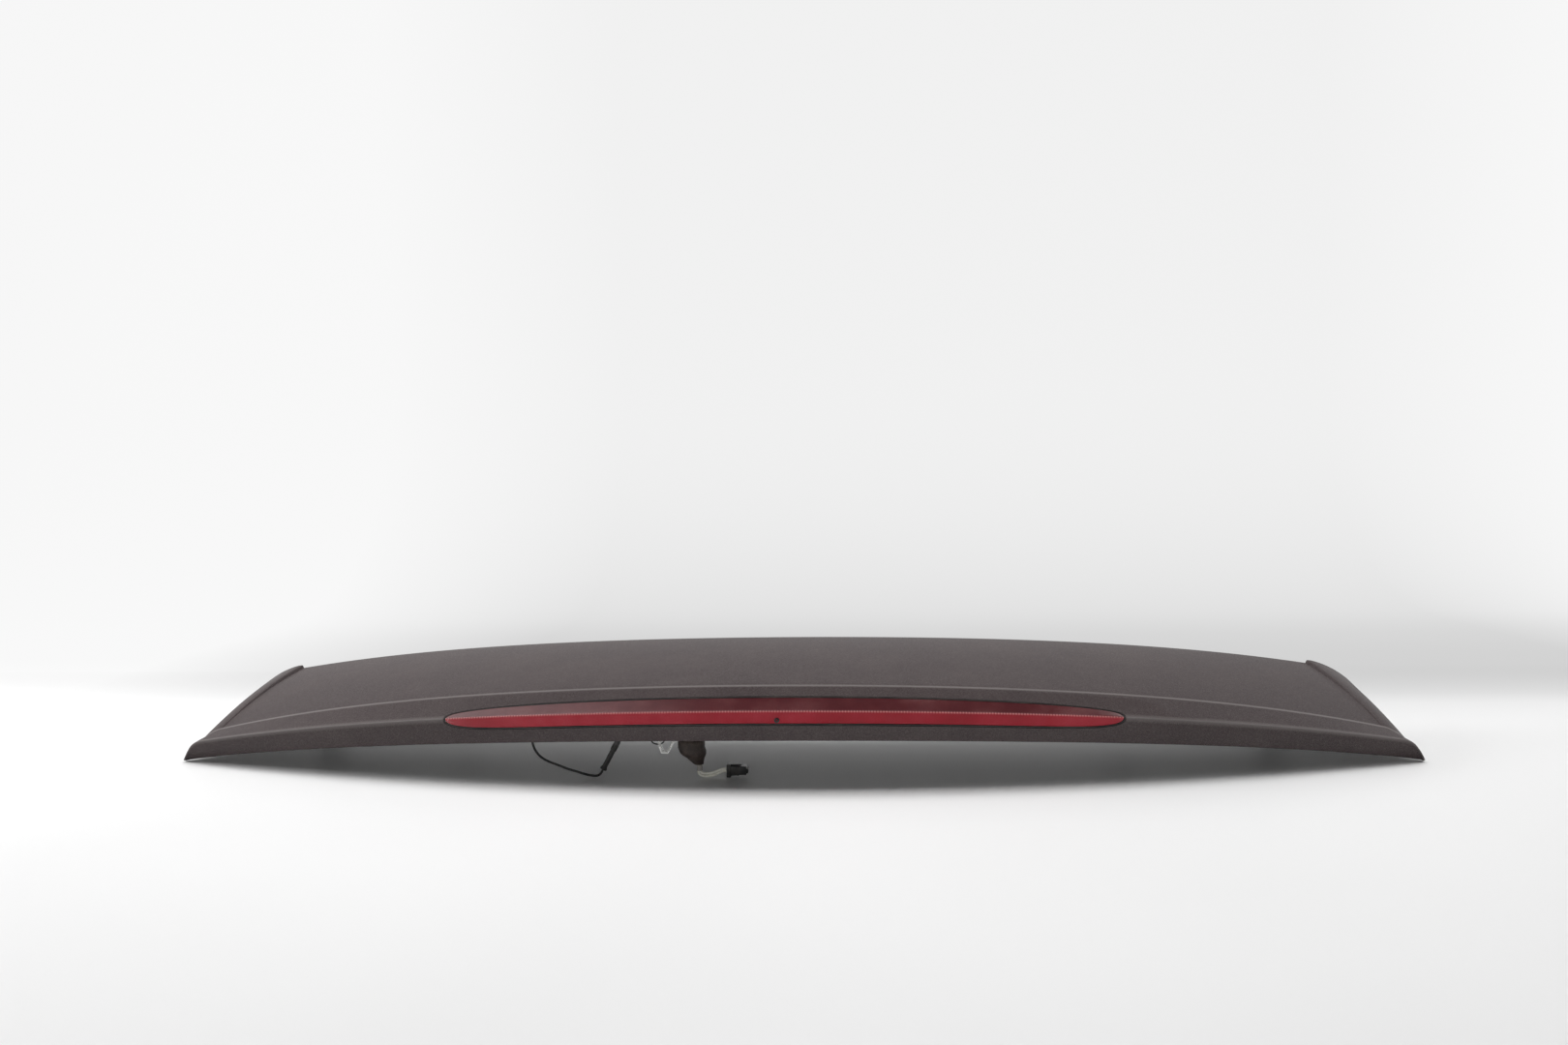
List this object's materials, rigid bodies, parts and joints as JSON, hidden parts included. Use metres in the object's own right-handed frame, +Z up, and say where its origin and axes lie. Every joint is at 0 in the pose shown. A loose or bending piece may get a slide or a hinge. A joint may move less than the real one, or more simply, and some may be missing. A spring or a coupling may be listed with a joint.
{
  "type": "car rear spoiler",
  "caption": "Painted car rear roof spoiler with pointed ends, a long red brake lamp in its rear crease, a washer jet and a short lamp lead with its plug",
  "frame": {"origin": "centre of the spoiler's footprint, on the surface that it rests on", "axes": "+X along the width, to the right as seen from behind the car; +Y towards the front of the car; +Z up"},
  "size_m": [1.2172, 0.2518, 0.1061],
  "materials": {
    "paint": "painted plastic, dark grey-brown with fine metallic flake, worn",
    "inner_plastic": "moulded, satin",
    "rubber": "matt",
    "foam": "open cell, matt",
    "lens_red": "clear red moulding",
    "reflector": "metallised plastic",
    "board": "lacquered",
    "diode": "moulded",
    "zinc_steel": "zinc plated",
    "black_plastic": "moulded",
    "clip_plastic": "moulded",
    "boot_rubber": "moulded, dusty",
    "sheath_grey": "soft sleeve",
    "wire_white": "aged insulation",
    "contact_brass": "plated",
    "clear_plastic": "translucent, scuffed"
  },
  "bodies": {
    "root": {"upper_shell": "paint", "lower_shell": "inner_plastic", "front_seal": "rubber", "cheek_seals": "foam", "lamp_lens": "lens_red", "lamp_seal": "rubber", "lamp_housing": "inner_plastic", "lamp_reflector": "reflector", "led_board": "board", "leds": "diode", "lamp_socket": "inner_plastic", "lamp_brackets": "inner_plastic", "lamp_screws": "zinc_steel", "washer_jet": "black_plastic", "jet_hose": "rubber", "hose_elbow": "black_plastic", "hose_sleeve": "rubber", "mounting_studs": "zinc_steel", "stud_rings": "foam", "trim_clips": "clip_plastic", "harness_boot": "boot_rubber", "inner_lead": "rubber", "lead_sheath": "sheath_grey", "lead_wire_left": "wire_white", "lead_wire_right": "wire_white", "lead_plug": "black_plastic", "plug_terminals": "contact_brass", "thin_lead": "rubber", "harness_clip": "clear_plastic", "clip_tie": "black_plastic"}
  },
  "joints": []
}
